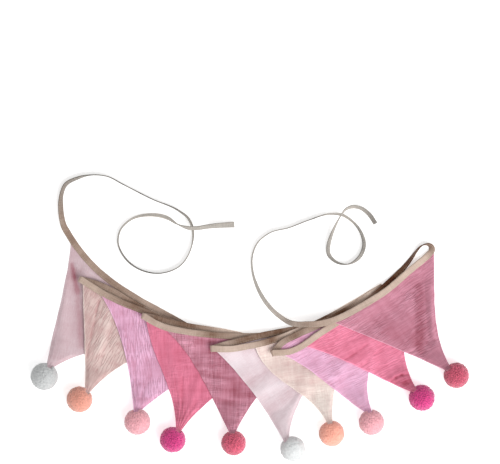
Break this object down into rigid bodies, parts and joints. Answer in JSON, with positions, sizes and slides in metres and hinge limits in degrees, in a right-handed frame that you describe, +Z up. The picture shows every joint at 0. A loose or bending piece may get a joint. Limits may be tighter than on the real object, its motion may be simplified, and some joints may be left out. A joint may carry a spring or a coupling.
{
  "type": "fabric bunting",
  "caption": "Bunting of gauze triangles on a folded linen tape with free ties, a yarn pompom at each tip, laid out folded back and forth as a fan.",
  "frame": {"origin": "middle of the layout's box, on the surface that carries the bunting", "axes": "+X along the layout's length, from the left ties to the right ones; +Y from the pompoms to the ties; +Z up, away from the surface"},
  "size_m": [0.5486, 0.3596, 0.0337],
  "materials": {
    "tape_linen": "matt plain-weave linen",
    "pale_pink": "matt crinkled gauze",
    "peach": "matt crinkled gauze",
    "orchid": "matt crinkled gauze",
    "hot_pink": "matt crinkled gauze",
    "dusty_rose": "matt crinkled gauze",
    "pompom_white": "matt cut yarn",
    "pompom_peach": "matt cut yarn",
    "pompom_salmon": "matt cut yarn",
    "pompom_magenta": "matt cut yarn",
    "pompom_raspberry": "matt cut yarn"
  },
  "bodies": {
    "root": {"binding_tape": "tape_linen", "flag_01": "pale_pink", "flag_02": "peach", "flag_03": "orchid", "flag_04": "hot_pink", "flag_05": "dusty_rose", "flag_06": "pale_pink", "flag_07": "peach", "flag_08": "orchid", "flag_09": "hot_pink", "flag_10": "dusty_rose", "pompom_01": "pompom_white", "pompom_02": "pompom_peach", "pompom_03": "pompom_salmon", "pompom_04": "pompom_magenta", "pompom_05": "pompom_raspberry", "pompom_06": "pompom_white", "pompom_07": "pompom_peach", "pompom_08": "pompom_salmon", "pompom_09": "pompom_magenta", "pompom_10": "pompom_raspberry"}
  },
  "joints": []
}
